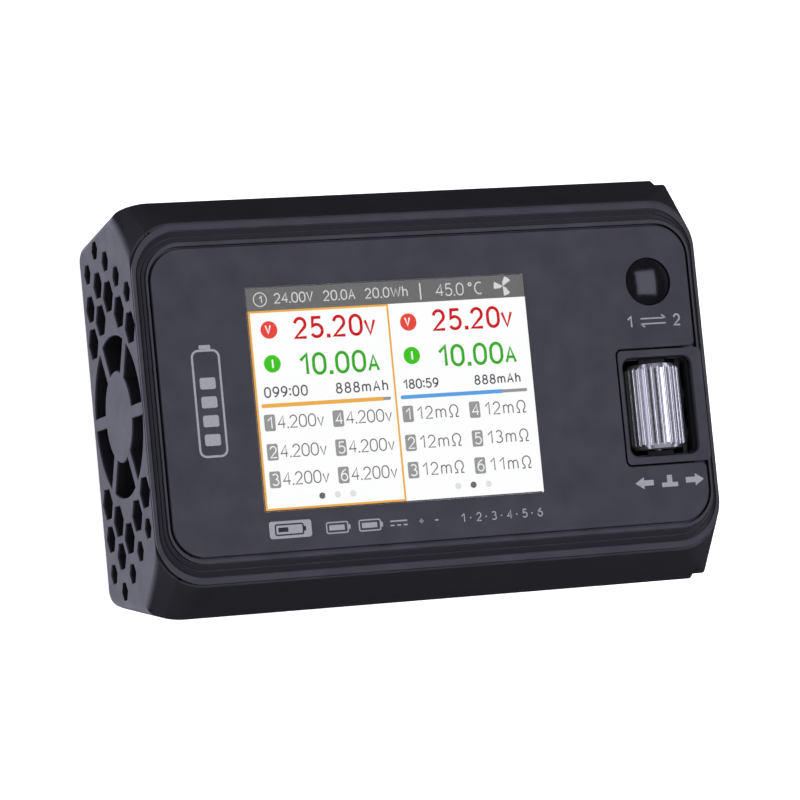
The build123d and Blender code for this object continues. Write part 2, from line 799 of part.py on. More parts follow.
def fan_rotor():
    """Hub cup with twisted blades, and its shaft."""
    cup_back_x = fan_in_x - 1.6
    cup_front_x = fan_out_x + 0.8
    blade_mid_x = (cup_back_x + cup_front_x) / 2

    with BuildPart() as blade:
        for radius, twist in ((fan_hub_r - 0.6, 52), (blade_tip_r + 1, 30)):
            section = Plane(
                origin=(blade_mid_x, 0, fan_z + radius),
                x_dir=(math.sin(math.radians(twist)), math.cos(math.radians(twist)), 0),
                z_dir=(0, 0, 1),
            )
            with BuildSketch(section):
                Rectangle(7.0, 0.8)
        loft(ruled=True)

    with BuildPart() as rotor:
        with BuildSketch(Plane.YZ.offset(cup_front_x)):
            with Locations((0, fan_z)):
                Circle(fan_hub_r)
        extrude(amount=cup_back_x - cup_front_x)
        for index in range(blade_count):
            add(blade.part.rotate(Axis((0, 0, fan_z), (1, 0, 0)), index * 360 / blade_count))
        with BuildSketch(Plane.YZ.offset(cup_front_x)):
            with Locations((0, fan_z)):
                Circle(blade_tip_r)
        extrude(amount=cup_back_x - cup_front_x, mode=Mode.INTERSECT)
        with BuildSketch(Plane.YZ.offset(cup_front_x + 1.2)):
            with Locations((0, fan_z)):
                Circle(5.3)
        extrude(amount=10, mode=Mode.SUBTRACT)
        with BuildSketch(Plane.YZ.offset(cup_front_x)):
            with Locations((0, fan_z)):
                Circle(0.75)
        extrude(amount=3, mode=Mode.SUBTRACT)
    save(rotor.part, "fan_rotor")
    with BuildPart() as shaft:
        with BuildSketch(Plane.YZ.offset(cup_front_x + 0.1)):
            with Locations((0, fan_z)):
                Circle(0.75)
        extrude(amount=7.6)
    save(shaft.part, "fan_shaft")


def fan_wiring():
    """Two-wire lead from the fan to its header on the main board."""
    with BuildPart() as header:
        slab((-35.6, -19.4, main_top_z), (-31.4, -14.6, main_top_z + 5.0))
    save(header.part, "fan_header")
    lead_r = 0.5
    header_top = main_top_z + 5.0
    with BuildPart() as lead:
        for y in (-14.0, -12.9):
            start = (fan_in_x, y, 20)
            end_y = -17.6 + 2 * (y + 14)
            with BuildLine():
                FilletPolyline(
                    start,
                    (-33.5, y, 20),
                    (-33.5, end_y, 16.5),
                    (-33.5, end_y, header_top),
                    radius=1.2,
                )
            with BuildSketch(Plane(origin=start, z_dir=(1, 0, 0))):
                Circle(lead_r)
            sweep()
    save(lead.part, "fan_lead")


# ---- Main board ----
def main_board():
    """Power board on four pillars, with the parts that stand on it."""
    with BuildPart() as board:
        slab((-36.0, -28.0, main_board_z), (41.8, 28.0, main_top_z))
        slab((41.8, -23.2, main_board_z), (47.0, 23.2, main_top_z))
        for x, y in pillar_places:
            with Locations((x, y, main_top_z)):
                Hole(1.4)
    save(board.part, "main_board")

    with BuildPart() as pillars:
        with BuildSketch(Plane.XY.offset(floor_z)):
            with Locations(*pillar_places):
                Circle(2.2)
                Circle(1.15, mode=Mode.SUBTRACT)
        extrude(amount=main_board_z - floor_z)
    save(pillars.part, "board_pillars")

    with BuildPart() as screws:
        with BuildSketch(Plane.XY.offset(main_top_z)):
            with Locations(*pillar_places):
                Circle(2.1)
        extrude(amount=1.3)
        with BuildSketch(Plane.XY.offset(main_top_z)):
            with Locations(*pillar_places):
                Circle(1.1)
        extrude(amount=-4.4)
        with BuildSketch(Plane.XY.offset(main_top_z + 0.7)):
            with Locations(*pillar_places):
                RegularPolygon(1.0, 6)
        extrude(amount=1, mode=Mode.SUBTRACT)
    save(screws.part, "board_screws")


pillar_places = ((-32.5, -24.5), (38.0, -24.8), (-20.2, 18.2), (20.2, 18.2))
sink_low_x = -33.0
sink_high_x = 9.0
sink_half_y = 13.0


def power_stage():
    """Transistors, thermal pad and finned heatsink, with the coils, capacitors and shunts."""
    with BuildPart() as transistors:
        with BuildSketch(Plane.XY.offset(main_top_z)):
            with Locations((-12, 0)):
                with GridLocations(9.0, 12.0, 4, 2):
                    Rectangle(5.2, 6.2)
        extrude(amount=1.0)
    save(transistors.part, "power_transistors")

    pad_z = main_top_z + 1.0
    with BuildPart() as pad:
        slab((-30, -11, pad_z), (6, 11, pad_z + 0.8))
    save(pad.part, "thermal_pad")

    sink_z = pad_z + 0.8
    with BuildPart() as heatsink:
        slab((sink_low_x, -sink_half_y, sink_z), (sink_high_x, sink_half_y, sink_z + 2))
        with BuildSketch(Plane.XY.offset(sink_z + 2)):
            with Locations(((sink_low_x + sink_high_x) / 2, 0)):
                with GridLocations(0, (2 * sink_half_y - 1.0) / 8, 1, 9):
                    Rectangle(sink_high_x - sink_low_x, 1.0)
        extrude(amount=25.5 - sink_z - 2)
    save(heatsink.part, "heatsink")

    with BuildPart() as coils:
        with BuildSketch(Plane.XY.offset(main_top_z)):
            with Locations((22.5, 0)):
                with GridLocations(11.5, 12.5, 2, 2):
                    RectangleRounded(10.5, 10.5, 1.5)
        extrude(amount=6.5)
        chamfer(coils.faces().group_by(Axis.Z)[-1].edges(), 0.6)
    save(coils.part, "power_inductors")

    with BuildPart() as capacitors:
        with BuildSketch(Plane.XY.offset(main_top_z)):
            with Locations((-25, -18.5), (-15.5, -18.5), (17, -19), (27, -19)):
                Circle(4.0)
        extrude(amount=11.5)
        fillet(capacitors.faces().group_by(Axis.Z)[-1].edges(), 0.5)
    save(capacitors.part, "bulk_capacitors")

    with BuildPart() as shunts:
        with BuildSketch(Plane.XY.offset(main_top_z)):
            with Locations((-11, 18), (11, 18)):
                Rectangle(6.4, 3.2)
        extrude(amount=0.8)
    save(shunts.part, "current_shunts")


def board_link():
    """Pin header under the front board, in its socket on the main board."""
    pins = [(x, y) for x in range(-8, 9, 2) for y in (-21, -19)]
    socket_top = main_top_z + 8.5
    with BuildPart() as socket:
        slab((-9.5, -22.5, main_top_z), (9.5, -17.5, socket_top))
        with BuildSketch(Plane.XY.offset(socket_top)):
            with Locations(*pins):
                Rectangle(0.7, 0.7)
        extrude(amount=-5, mode=Mode.SUBTRACT)
    save(socket.part, "board_link_socket")
    with BuildPart() as header:
        slab((-9.5, -22.5, front_board_z - 2.5), (9.5, -17.5, front_board_z))
        with BuildSketch(Plane.XY.offset(front_board_z - 2.5)):
            with Locations(*pins):
                Rectangle(0.6, 0.6)
        extrude(amount=socket_top - 4 - (front_board_z - 2.5))
    save(header.part, "board_link_header")


# ---- Sockets ----
def power_outline(length, height, cut):
    """Outline of a power connector: two corners on one side are cut off."""
    half_l = length / 2
    half_h = height / 2
    with BuildSketch() as outline:
        with BuildLine():
            Polyline(
                (-half_l, -half_h),
                (half_l - cut, -half_h),
                (half_l, -half_h + cut),
                (half_l, half_h - cut),
                (half_l - cut, half_h),
                (-half_l, half_h),
                close=True,
            )
        make_face()
    return outline.sketch


def output_socket(number, x):
    """Power output: solid housing with two round contacts."""
    face = Plane(origin=(x, port_face_y, power_z), x_dir=(1, 0, 0), z_dir=(0, -1, 0))
    with BuildPart() as housing:
        with BuildSketch(face):
            add(power_outline(power_length, power_height, 2.2))
            with GridLocations(power_pitch, 0, 2, 1):
                Circle(2.42, mode=Mode.SUBTRACT)
        extrude(amount=power_depth)
    save(housing.part, f"output_housing_{number}")
    with BuildPart() as contacts:
        with BuildSketch(face.offset(0.4)):
            with GridLocations(power_pitch, 0, 2, 1):
                Circle(2.4)
                Circle(contact_r, mode=Mode.SUBTRACT)
        extrude(amount=12)
    save(contacts.part, f"output_contacts_{number}")


def balance_socket(number, x):
    """Seven-pin balance socket: open box with one row of pins."""
    face = Plane(origin=(x, port_face_y, balance_z), x_dir=(1, 0, 0), z_dir=(0, -1, 0))
    with BuildPart() as housing:
        with BuildSketch(face):
            Rectangle(balance_length, balance_height)
        extrude(amount=balance_depth)
        with BuildSketch(face):
            Rectangle(balance_length - 1.7, balance_height - 1.5)
            for offset_x in (-5.0, 5.0):
                with Locations((offset_x, -balance_height / 2)):
                    Rectangle(1.4, 3.0)
        extrude(amount=balance_depth - 2.5, mode=Mode.SUBTRACT)
        with BuildSketch(face.offset(balance_depth - 2.5)):
            with GridLocations(2.5, 0, 7, 1):
                Rectangle(0.66, 0.66)
        extrude(amount=2.5, mode=Mode.SUBTRACT)
    save(housing.part, f"balance_housing_{number}")
    with BuildPart() as pins:
        with BuildSketch(face.offset(1.5)):
            with GridLocations(2.5, 0, 7, 1):
                Rectangle(0.64, 0.64)
        extrude(amount=balance_depth - 0.5)
    save(pins.part, f"balance_pins_{number}")


def supply_inlet():
    """Power inlet: hood around two pins."""
    face = Plane(origin=(port_face_x, input_y, power_z), x_dir=(0, 1, 0), z_dir=(-1, 0, 0))
    with BuildPart() as housing:
        with BuildSketch(face):
            add(power_outline(power_length, power_height, 2.2))
        extrude(amount=inlet_depth + 5)
        with BuildSketch(face):
            add(power_outline(power_length - 1.6, power_height - 1.6, 1.8))
        extrude(amount=inlet_depth, mode=Mode.SUBTRACT)
        with BuildSketch(face.offset(inlet_depth)):
            with GridLocations(power_pitch, 0, 2, 1):
                Circle(inlet_neck_r + 0.02)
        extrude(amount=5, mode=Mode.SUBTRACT)
    save(housing.part, "input_housing")
    with BuildPart() as pins:
        with BuildSketch(face.offset(1.4)):
            with GridLocations(power_pitch, 0, 2, 1):
                Circle(contact_r)
        extrude(amount=inlet_pin_length)
        with BuildSketch(face.offset(1.4)):
            with GridLocations(power_pitch, 0, 2, 1):
                Circle(inlet_neck_r)
        extrude(amount=inlet_depth + 3.6)
    save(pins.part, "input_pins")


def usb_ports():
    """Pressed metal port shells and the tongues inside them."""
    a_low = (port_face_x - usb_a_depth, usb_a_y - usb_a_length / 2, usb_a_z - usb_a_height / 2)
    a_high = (port_face_x, usb_a_y + usb_a_length / 2, usb_a_z + usb_a_height / 2)
    a_sheet = 0.35
    a_floor_x = a_low[0] + 0.4
    with BuildPart() as port_a:
        slab(a_low, a_high)
        slab(
            (a_floor_x, a_low[1] + a_sheet, a_low[2] + a_sheet),
            (case_length, a_high[1] - a_sheet, a_high[2] - a_sheet),
            Mode.SUBTRACT,
        )
    save(port_a.part, "usb_a_port")
    c_low_x = port_face_x - usb_c_depth
    with BuildPart() as port_c:
        with BuildSketch(Plane.YZ.offset(c_low_x)):
            with Locations((usb_c_y, usb_c_z)):
                SlotOverall(usb_c_length - 0.06, usb_c_height - 0.1)
        extrude(amount=usb_c_depth)
        with BuildSketch(Plane.YZ.offset(c_low_x + 0.4)):
            with Locations((usb_c_y, usb_c_z)):
                SlotOverall(usb_c_length - 0.66, usb_c_height - 0.7)
        extrude(amount=usb_c_depth, mode=Mode.SUBTRACT)
    save(port_c.part, "usb_c_port")
    with BuildPart() as tongues:
        slab((a_floor_x, usb_a_y - 5.6, usb_a_z + 0.2), (port_face_x - 1.5, usb_a_y + 5.6, usb_a_z + 2.1))
        slab((a_floor_x, usb_a_y - 6.2, usb_a_z - 2.5), (a_floor_x + 1.4, usb_a_y + 6.2, usb_a_z + 2.5))
        slab(
            (c_low_x + 0.4, usb_c_y - 3.3, usb_c_z - 0.35),
            (port_face_x - 0.8, usb_c_y + 3.3, usb_c_z + 0.35),
        )
    save(tongues.part, "usb_tongues")


# ---- Back: feet, label and case screws ----
foot_x = 38.5
foot_y = 21.5
foot_r = 4.5
foot_recess = 0.35
label_length = 44.0
label_height = 24.0


def back_details():
    """Stick-on feet, a blank label and the four case screws."""
    corners = ((-foot_x, -foot_y), (foot_x, -foot_y), (-foot_x, foot_y), (foot_x, foot_y))
    for number, place in enumerate(corners, start=1):
        with BuildPart() as foot:
            with BuildSketch(Plane.XY):
                with Locations(place):
                    Circle(foot_r)
            extrude(amount=back_z + foot_recess)
            chamfer(foot.faces().sort_by(Axis.Z)[0].edges(), 0.3)
        save(foot.part, f"rubber_foot_{number}")

    with BuildPart() as label:
        plate((label_length, label_height, 1.0), back_z + 0.05, back_z + foot_recess)
    save(label.part, "back_label")

    with BuildPart() as screws:
        with BuildSketch(Plane.XY.offset(back_z + 0.1)):
            with GridLocations(2 * post_x, 2 * post_y, 2, 2):
                Circle(2.2)
        extrude(amount=0.8)
        with BuildSketch(Plane.XY.offset(back_z + 0.9)):
            with GridLocations(2 * post_x, 2 * post_y, 2, 2):
                Circle(1.0)
        extrude(amount=12)
        with BuildSketch(Plane.XY.offset(back_z + 0.1)):
            with GridLocations(2 * post_x, 2 * post_y, 2, 2):
                RegularPolygon(1.1, 6)
        extrude(amount=0.6, mode=Mode.SUBTRACT)
    save(screws.part, "case_screws")


main_shell()
left_grille()
right_side_panel()
front_bezel()
front_panel()
display()
front_board()
channel_button()
scroll_wheel()
wheel_carrier()
wheel_base()
fan_frame()
fan_motor()
fan_rotor()
fan_wiring()
main_board()
power_stage()
board_link()
for socket_number, socket_side in ((1, -1), (2, 1)):
    output_socket(socket_number, socket_side * output_x)
    balance_socket(socket_number, socket_side * balance_x)
supply_inlet()
usb_ports()
back_details()
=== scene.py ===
import math

import bpy
from mathutils import Matrix, Quaternion, Vector


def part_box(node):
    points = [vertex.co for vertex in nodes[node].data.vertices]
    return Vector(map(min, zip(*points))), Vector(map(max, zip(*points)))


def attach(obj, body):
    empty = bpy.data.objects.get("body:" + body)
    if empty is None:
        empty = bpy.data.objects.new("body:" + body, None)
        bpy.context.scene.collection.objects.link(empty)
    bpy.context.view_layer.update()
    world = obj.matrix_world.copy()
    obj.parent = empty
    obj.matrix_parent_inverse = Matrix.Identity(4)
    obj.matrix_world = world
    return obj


# Looks of the two-channel balance charger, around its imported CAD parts: materials, the lit
# image on the display, the printed marks, and the floor, lights and camera.
# Blender works in metres; sizes below are in millimetres, turned into metres by MM.

MM = 0.001

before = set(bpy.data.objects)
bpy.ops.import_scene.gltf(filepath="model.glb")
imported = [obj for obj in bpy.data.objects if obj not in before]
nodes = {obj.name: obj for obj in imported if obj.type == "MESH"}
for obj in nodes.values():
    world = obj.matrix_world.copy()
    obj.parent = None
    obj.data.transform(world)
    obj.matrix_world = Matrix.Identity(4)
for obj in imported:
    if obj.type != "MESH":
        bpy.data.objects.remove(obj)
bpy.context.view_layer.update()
panel_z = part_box("front_panel")[1].z / MM


# ---- Camera ----
# The photograph's viewing angle: high above the front, from the left and slightly from below.
camera_place = Vector((-246.71, -61.33, 676.50)) * MM
camera_target = Vector((-6.54, -1.69, panel_z)) * MM
camera_roll = math.radians(71.453)
camera_lens = 187.08        # Blender takes the lens and its sensor in millimetres
sensor_width = 36


def make_camera():
    """A long lens that looks down on the front panel."""
    data = bpy.data.cameras.new("camera")
    data.lens = camera_lens
    data.sensor_width = sensor_width
    data.clip_start = 50 * MM
    data.clip_end = 20000 * MM
    camera = bpy.data.objects.new("camera", data)
    aim = (camera_place - camera_target).to_track_quat("Z", "Y")
    turn = aim @ Quaternion((0, 0, 1), camera_roll)
    camera.matrix_world = Matrix.Translation(camera_place) @ turn.to_matrix().to_4x4()
    bpy.context.scene.collection.objects.link(camera)
    bpy.context.scene.camera = camera


# ---- Node helpers ----
class NodeTree:
    """Short ways to add nodes to a tree."""

    def __init__(self, tree):
        self.tree = tree

    def add(self, kind, **settings):
        node = self.tree.nodes.new(kind)
        for key, value in settings.items():
            setattr(node, key, value)
        return node

    def feed(self, node, socket, source):
        """Set a socket from another node's output, or to a plain value."""
        if isinstance(source, bpy.types.NodeSocket):
            self.tree.links.new(source, node.inputs[socket])
        else:
            node.inputs[socket].default_value = source

    def maths(self, operation, first, second=0.0):
        node = self.add("ShaderNodeMath", operation=operation)
        self.feed(node, 0, first)
        self.feed(node, 1, second)
        return node.outputs[0]

    def dot(self, first, second):
        node = self.add("ShaderNodeVectorMath", operation="DOT_PRODUCT")
        self.feed(node, 0, first)
        self.feed(node, 1, second)
        return node.outputs["Value"]

    def ranged(self, value, low, high, from_low=0.3, from_high=0.7, **settings):
        """Map a value onto low to high. Without its own range, noise's middle range is taken."""
        node = self.add("ShaderNodeMapRange", **settings)
        self.feed(node, "Value", value)
        self.feed(node, "From Min", from_low)
        self.feed(node, "From Max", from_high)
        self.feed(node, "To Min", low)
        self.feed(node, "To Max", high)
        return node.outputs["Result"]


class Shader(NodeTree):
    """A material with one Principled shader, its look made of nodes in object space."""

    def __init__(self, name, **constants):
        self.material = bpy.data.materials.new(name)
        self.material.use_nodes = True
        super().__init__(self.material.node_tree)
        self.surface = self.tree.nodes["Principled BSDF"]
        for socket, value in constants.items():
            self.set(socket.replace("_", " "), value)
        self.place = self.add("ShaderNodeTexCoord").outputs["Object"]

    def set(self, socket, source):
        self.feed(self.surface, socket, source)

    def stretched(self, scale):
        """Object coordinates in cells per metre along each axis."""
        mapping = self.add("ShaderNodeMapping")
        self.feed(mapping, "Vector", self.place)
        self.feed(mapping, "Scale", scale)
        return mapping.outputs["Vector"]

    def noise(self, size, detail=3.0, stretch=(1, 1, 1)):
        """Noise from 0 to 1 with blotches of the given size in millimetres."""
        node = self.add("ShaderNodeTexNoise")
        self.feed(node, "Vector", self.stretched(stretch))
        self.feed(node, "Scale", 1 / (size * MM))
        self.feed(node, "Detail", detail)
        self.feed(node, "Roughness", 0.55)
        return node.outputs["Fac"]

    def blend(self, share, first, second):
        """Mix two plain or linked colours by a share from 0 to 1."""
        node = self.add("ShaderNodeMix", data_type="RGBA")
        self.feed(node, "Factor", share)
        for index, colour in ((6, first), (7, second)):
            plain = not isinstance(colour, bpy.types.NodeSocket)
            self.feed(node, index, (*colour, 1) if plain else colour)
        return node.outputs[2]

    def edges(self, radius):
        """(mask that is 1 on sharp edges, rounded normal) from a bevel of this radius."""
        bevel = self.add("ShaderNodeBevel", samples=8)
        self.feed(bevel, "Radius", radius * MM)
        normal = self.add("ShaderNodeNewGeometry").outputs["Normal"]
        turned = self.maths("SUBTRACT", 1.0, self.dot(bevel.outputs["Normal"], normal))
        return self.ranged(turned, 0.0, 1.0, 0.02, 0.3), bevel.outputs["Normal"]

    def bump(self, height, depth, normal=None):
        """Bump by a 0 to 1 height over a depth in millimetres, on top of a normal."""
        node = self.add("ShaderNodeBump")
        self.feed(node, "Height", height)
        self.feed(node, "Distance", depth * MM)
        self.feed(node, "Strength", 1.0)
        if normal is not None:
            self.feed(node, "Normal", normal)
        self.set("Normal", node.outputs["Normal"])


def lighter(colour, factor):
    return tuple(min(1.0, channel * factor) for channel in colour)


# ---- Materials ----
case_colour = (0.0062, 0.006, 0.0078)
# The shell's colour is the case plastic darkened as painted shade on its sloping upper and lower faces.
shaded_shell_colour = (0.0042, 0.0041, 0.005)
glass_black = (0.004, 0.004, 0.005)
window_ior = 1.1            # low, as a coated window hardly reflects
element_pitch = 48.96 / 320     # between the display's picture elements
element_gap = 0.12          # dark share at each edge of an element
gap_light = 0.94            # light of the gaps beside the elements' own


def moulded_plastic(name, colour, roughness=0.42, grain=0.12, depth=0.006, edge=0.22):
    """Injection-moulded plastic: spark-eroded grain, faint mottling, edges polished by handling, their
    colour lightened partly as wear and partly as a painted edge highlight.
    """
    shader = Shader(name)
    mottle = shader.ranged(shader.noise(9.0), 0.0, 1.0)
    body = shader.blend(mottle, lighter(colour, 0.9), lighter(colour, 1.1))
    mask, rounded = shader.edges(edge)
    edge_wear_and_highlight = shader.maths("MULTIPLY", mask, shader.ranged(shader.noise(2.2), 0.25, 0.75))
    # Edges lighter in colour: partly wear, partly a painted highlight along every edge.
    shader.set("Base Color", shader.blend(edge_wear_and_highlight, body, lighter(colour, 2.0)))
    shine = shader.ranged(shader.noise(5.0), roughness - 0.03, roughness + 0.04)
    shader.set("Roughness", shader.maths("SUBTRACT", shine, shader.maths("MULTIPLY", mask, 0.08)))
    shader.bump(shader.noise(grain, detail=2.0), depth, rounded)
    return shader.material


def gloss_plastic(name, colour, roughness):
    """Polished plastic with faint waviness, fine specks in its gloss and soft edges."""
    shader = Shader(name)
    tint = shader.ranged(shader.noise(6.0), 0.0, 1.0)
    shader.set("Base Color", shader.blend(tint, lighter(colour, 0.8), lighter(colour, 1.2)))
    shader.set("Roughness", shader.ranged(shader.noise(0.9), roughness, roughness + 0.08))
    shader.bump(shader.noise(3.0, detail=1.0), 0.004, shader.edges(0.2)[1])
    return shader.material


def metal(name, colour, roughness, streak=(1, 1, 1), size=0.4, shine=1.0):
    """Metal whose fine lines run along the axis with the smallest stretch."""
    shader = Shader(name, Metallic=shine)
    lines = shader.noise(size, detail=4.0, stretch=streak)
    tone = shader.ranged(lines, 0.0, 1.0)
    shader.set("Base Color", shader.blend(tone, lighter(colour, 0.86), lighter(colour, 1.05)))
    shader.set("Roughness", shader.ranged(lines, roughness * 0.7, roughness * 1.35))
    shader.bump(lines, 0.003, shader.edges(0.1)[1])
    return shader.material


def clear_window(name):
    """Clear window with a coating against reflections and the faintest tint."""
    shader = Shader(name, Transmission_Weight=1.0, IOR=window_ior, Roughness=0.0)
    haze = shader.ranged(shader.noise(4.0), 0.0, 1.0)
    shader.set("Base Color", shader.blend(haze, (0.985, 0.99, 0.995), (1.0, 1.0, 1.0)))
    return shader.material


def rubber(name, colour):
    """Matte rubber with a dusty, slightly pitted face."""
    shader = Shader(name, Sheen_Weight=0.15, Sheen_Roughness=0.5)
    dust = shader.ranged(shader.noise(1.8, detail=5.0), 0.0, 1.0)
    shader.set("Base Color", shader.blend(dust, colour, lighter(colour, 1.9)))
    shader.set("Roughness", shader.ranged(shader.noise(0.6), 0.7, 0.88))
    shader.bump(shader.noise(0.25), 0.02, shader.edges(0.25)[1])
    return shader.material


def circuit_board(name):
    """Green solder mask, lighter and raised where the copper tracks run between its blocks."""
    shader = Shader(name)
    blocks = shader.add("ShaderNodeTexBrick", offset=0.35, squash=1.6, squash_frequency=3)
    shader.feed(blocks, "Vector", shader.stretched((700, 700, 700)))
    for socket, level in (("Color1", 0.15), ("Color2", 0.35), ("Mortar", 1.0)):
        shader.feed(blocks, socket, (level, level, level, 1))
    tracks = shader.add("ShaderNodeRGBToBW")
    shader.feed(tracks, "Color", blocks.outputs["Color"])
    copper = tracks.outputs["Val"]
    shader.set("Base Color", shader.blend(copper, (0.008, 0.07, 0.03), (0.03, 0.2, 0.08)))
    shader.set("Roughness", shader.ranged(shader.noise(1.2), 0.22, 0.34))
    shader.bump(copper, 0.03)
    return shader.material


def lit_image(name, colour):
    """Part of the display's image, through its fine grid of picture elements."""
    shader = Shader(name, Roughness=0.5, Emission_Strength=1.0, Specular_IOR_Level=0.0)
    split = shader.add("ShaderNodeSeparateXYZ")
    shader.feed(split, "Vector", shader.stretched((1 / (element_pitch * MM),) * 3))
    gaps = []
    for axis in ("X", "Y"):
        wave = shader.maths("PINGPONG", split.outputs[axis], 0.5)
        gaps.append(shader.ranged(wave, 1.0, 0.0, 0.0, element_gap))
    gap = shader.maths("MAXIMUM", *gaps)
    shader.set("Emission Color", shader.blend(gap, colour, lighter(colour, gap_light)))
    shader.set("Base Color", shader.blend(gap, (0.006, 0.006, 0.008), (0.012, 0.012, 0.012)))
    return shader.material


def printed_ink(name, colour):
    """Screen-printed ink: slightly uneven cover and a matte, faintly ridged face."""
    shader = Shader(name)
    cover = shader.ranged(shader.noise(0.35, detail=4.0), 0.0, 1.0, 0.25, 0.6)
    shader.set("Base Color", shader.blend(cover, lighter(colour, 0.8), colour))
    shader.set("Roughness", shader.ranged(shader.noise(0.5), 0.45, 0.6))
    shader.bump(shader.noise(0.1, detail=2.0), 0.004)
    return shader.material


def label_film(name):
    """Silver-grey polyester label with a fine satin lay."""
    shader = Shader(name, Coat_Weight=0.2, Coat_Roughness=0.35)
    lay = shader.noise(0.5, stretch=(0.06, 1, 1))
    tone = shader.ranged(lay, 0.0, 1.0)
    shader.set("Base Color", shader.blend(tone, (0.2, 0.205, 0.215), (0.27, 0.275, 0.29)))
    shader.set("Roughness", shader.ranged(lay, 0.38, 0.5))
    shader.bump(lay, 0.003)
    return shader.material


def wound_coil(name):
    """Enamelled copper wire in even turns around the motor's core."""
    shader = Shader(name, Metallic=0.6)
    wave = shader.add("ShaderNodeTexWave", bands_direction="X")
    shader.feed(wave, "Vector", shader.place)
    shader.feed(wave, "Scale", 1 / (0.9 * MM))
    shader.feed(wave, "Distortion", 0.6)
    turns = wave.outputs["Fac"]
    # Colour darker in the grooves between turns and lighter on their crowns: painted shade of the round
    # wire.
    shader.set("Base Color", shader.blend(turns, (0.14, 0.04, 0.012), (0.6, 0.24, 0.08)))
    shader.set("Roughness", shader.ranged(turns, 0.45, 0.25))
    shader.bump(turns, 0.06)
    return shader.material


def floor_paper(name):
    """Pale paper that gives some light of its own, so that it stays even to its far edges."""
    shader = Shader(name, Roughness=0.9, Specular_IOR_Level=0.0, Emission_Strength=0.5)
    tone = shader.ranged(shader.noise(60.0), 0.0, 1.0)
    shader.set("Base Color", shader.blend(tone, (0.9, 0.9, 0.905), (0.92, 0.92, 0.92)))
    shader.set("Emission Color", shader.blend(tone, (0.98, 0.98, 0.985), (1.0, 1.0, 1.0)))
    return shader.material


# ---- Materials of the CAD nodes ----
def dress(material, *names):
    """Give CAD nodes a material in place of their plain one."""
    for name in names:
        slots = nodes[name].data.materials
        slots.clear()
        slots.append(material)


def numbered(name, count):
    return [f"{name}_{number + 1}" for number in range(count)]


inner_black = moulded_plastic("inner_plastic", (0.012, 0.012, 0.013), 0.5, grain=0.2)
bright_steel = metal("pressed_steel", (0.55, 0.56, 0.58), 0.3, streak=(0.1, 1, 1))
brass = metal("brass", (0.78, 0.57, 0.26), 0.3)


def dress_case():
    """Case, front, feet, label and the screws that show at the back."""
    smooth = {"roughness": 0.36, "grain": 0.08, "depth": 0.003}
    # Shell plastic darkened as painted shade.
    dress(moulded_plastic("shaded_shell_plastic", shaded_shell_colour, 0.4), "main_shell")
    dress(moulded_plastic("cap_plastic", case_colour), "left_grille", "right_side_panel")
    dress(moulded_plastic("bezel_plastic", case_colour, edge=0.06, **smooth), "front_bezel")
    dress(moulded_plastic("panel_plastic", case_colour, edge=0.1, **smooth), "front_panel")
    dress(rubber("foot_rubber", (0.014, 0.014, 0.015)), *numbered("rubber_foot", 4))
    dress(label_film("label_film"), "back_label")
    dress(metal("screw_steel", (0.09, 0.09, 0.1), 0.35), "case_screws")


def dress_front():
    """Display, button and wheel, with what carries them."""
    dress(clear_window("window_clear"), "lcd_window")
    dress(gloss_plastic("display_cell", glass_black, 0.1), "lcd_glass")
    dress(gloss_plastic("button_plastic", glass_black, 0.07), "channel_button")
    chrome = metal("wheel_chrome", (0.84, 0.84, 0.84), 0.13, streak=(1, 0.03, 1), size=0.12, shine=0.96)
    dress(chrome, "scroll_wheel")
    # The wheel carrier is darkened as painted shade inside the window around the wheel.
    carrier = moulded_plastic("shaded_carrier_plastic", (0.003, 0.003, 0.0035), 0.6, grain=0.2)
    dress(carrier, "wheel_carrier")
    dress(bright_steel, "lcd_frame", "wheel_axle")
    dress(inner_black, "wheel_base", "wheel_switch", "button_switch", "encoder_sensor")
    plunger = moulded_plastic("plunger_plastic", (0.3, 0.3, 0.31), 0.45)
    dress(plunger, "button_plunger", "wheel_plunger")


def dress_fan():
    dress(inner_black, "fan_frame", "fan_lead")
    dress(moulded_plastic("rotor_plastic", (0.018, 0.018, 0.02), 0.34), "fan_rotor")
    dress(wound_coil("motor_winding"), "fan_stator")
    dress(bright_steel, "fan_shaft")
    dress(brass, "fan_bearing")


def dress_boards():
    """Both circuit boards and the parts on them."""
    dress(circuit_board("circuit_board"), "main_board", "front_board")
    dress(bright_steel, "board_screws")
    dress(brass, "board_pillars")
    dress(inner_black, "board_link_header", "board_link_socket", "controller_chip", "buzzer")
    dress(inner_black, "power_transistors", "current_shunts")
    dress(rubber("thermal_pad", (0.3, 0.32, 0.36)), "thermal_pad")
    dress(metal("heatsink_alloy", (0.7, 0.71, 0.73), 0.34, streak=(0.05, 1, 1)), "heatsink")
    dress(metal("can_alloy", (0.62, 0.63, 0.66), 0.3), "bulk_capacitors")
    core = moulded_plastic("coil_core", (0.1, 0.1, 0.108), 0.6, grain=0.3, depth=0.03)
    dress(core, "power_inductors", "encoder_magnet")


def dress_connectors():
    """Power, balance and USB connectors."""
    power = moulded_plastic("power_nylon", (0.72, 0.42, 0.02), 0.38)
    dress(power, "input_housing", *numbered("output_housing", 2))
    balance = moulded_plastic("balance_nylon", (0.72, 0.69, 0.6), 0.4)
    dress(balance, "fan_header", *numbered("balance_housing", 2))
    gold = metal("gold_plate", (0.95, 0.66, 0.26), 0.22)
    dress(gold, "input_pins", *numbered("output_contacts", 2), *numbered("balance_pins", 2))
    dress(bright_steel, "usb_a_port", "usb_c_port")
    dress(inner_black, "usb_tongues")


# ---- Flat marks: strokes and filled shapes as thin closed prisms ----
layer_step = 0.012
mark_thickness = 0.011      # less than a step, so that layers stay apart
same_point = 1e-6


